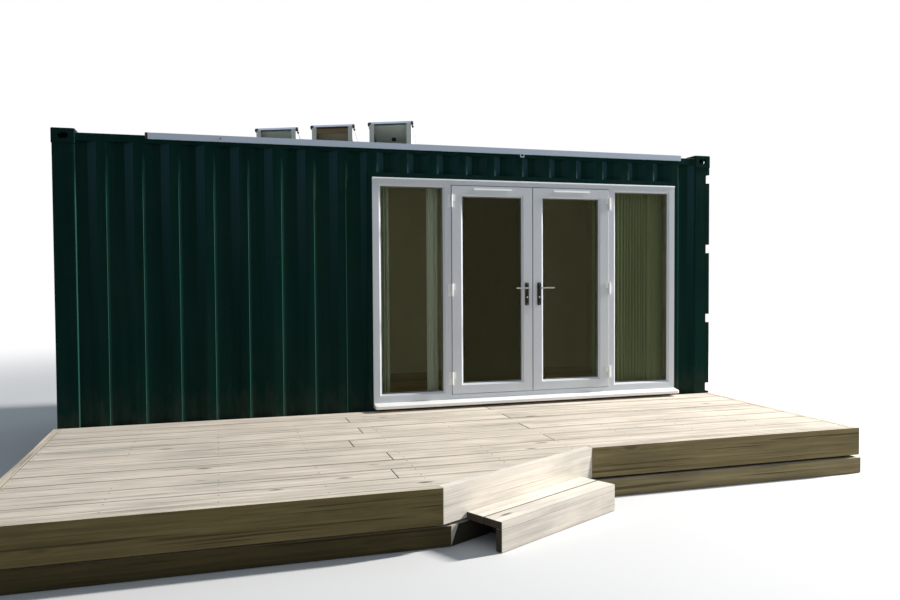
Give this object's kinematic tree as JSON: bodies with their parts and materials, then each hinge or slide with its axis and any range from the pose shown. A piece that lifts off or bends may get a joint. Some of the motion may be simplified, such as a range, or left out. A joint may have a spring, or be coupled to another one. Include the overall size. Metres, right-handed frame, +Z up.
{
  "type": "shipping container cabin",
  "caption": "Steel shipping container made into a garden cabin, with glazed double doors, sidelights, timber deck, step and small roof solar panels.",
  "frame": {"origin": "on the ground under the middle of the container's plan", "axes": "+X along the container to the right as seen from the door side, +Y from the door side to the back, +Z up"},
  "size_m": [6.078, 5.1463, 3.0078],
  "materials": {
    "steel_paint": "satin, weathered dark green paint",
    "timber": "weathered, unsealed",
    "timber_light": "weathered, pale",
    "interior_board": "matte cream",
    "interior_wood": "satin floor",
    "white_plastic": "satin white",
    "glass": "clear",
    "dark_metal": "polished dark",
    "bright_metal": "polished",
    "zinc": "dull zinc",
    "aluminium": "satin",
    "cells": "dark, glossy",
    "trim": "light grey",
    "cloth": "pale green, thin"
  },
  "bodies": {
    "cabin": {"sleepers": "timber", "corner_castings": "steel_paint", "corner_posts": "steel_paint", "bottom_rails": "steel_paint", "cross_members": "steel_paint", "floor": "interior_wood", "front_walls": "steel_paint", "front_wall_over_doors": "steel_paint", "back_wall": "steel_paint", "left_end_wall": "steel_paint", "top_rails": "steel_paint", "roof_sheet": "steel_paint", "cargo_doors": "steel_paint", "lock_rods": "zinc", "opening_jambs": "steel_paint", "opening_rails": "steel_paint", "lining_back": "interior_board", "lining_front": "interior_board", "lining_over_doors": "interior_board", "lining_ends": "interior_board", "ceiling_lining": "interior_board", "sidelight_frames": "white_plastic", "sidelight_glass": "glass", "doorway_rails": "white_plastic", "door_sill": "white_plastic", "frame_hinges": "white_plastic", "roof_edge_trim": "trim", "solar_panel_frames": "aluminium", "solar_panel_cells": "cells", "solar_panel_stands": "aluminium", "roof_timber": "timber", "deck_boards": "timber", "deck_joists": "timber", "deck_ledger": "timber", "deck_fascia": "timber", "deck_skirt": "timber", "step_treads": "timber_light", "step_box": "timber_light", "curtains": "cloth", "curtain_rail": "bright_metal"},
    "left_leaf": {"left_leaf_frame": "white_plastic", "left_leaf_glass": "glass", "left_leaf_hinges": "white_plastic", "left_lever_plates": "dark_metal"},
    "left_lever": {"left_lever_handle": "bright_metal"},
    "right_leaf": {"right_leaf_frame": "white_plastic", "right_leaf_glass": "glass", "right_leaf_hinges": "white_plastic", "right_lever_plates": "dark_metal"},
    "right_lever": {"right_lever_handle": "bright_metal"}
  },
  "joints": [
    {"name": "left_leaf_hinge", "type": "hinge", "parent": "cabin", "child": "left_leaf", "pos_m": [0.2825, -1.246, 1.424], "axis": [0, 0, -1], "range_deg": [0, 100]},
    {"name": "left_lever_turn", "type": "hinge", "parent": "left_leaf", "child": "left_lever", "pos_m": [1.018, -1.209, 1.438], "axis": [0, -1, 0], "range_deg": [0, 40], "stiffness_Nm_per_rad": 1.5, "springref_deg": -17.19},
    {"name": "right_leaf_hinge", "type": "hinge", "parent": "cabin", "child": "right_leaf", "pos_m": [1.8775, -1.246, 1.424], "axis": [0, 0, 1], "range_deg": [0, 100]},
    {"name": "right_lever_turn", "type": "hinge", "parent": "right_leaf", "child": "right_lever", "pos_m": [1.142, -1.209, 1.438], "axis": [0, 1, 0], "range_deg": [0, 40], "stiffness_Nm_per_rad": 1.5, "springref_deg": -17.19}
  ]
}
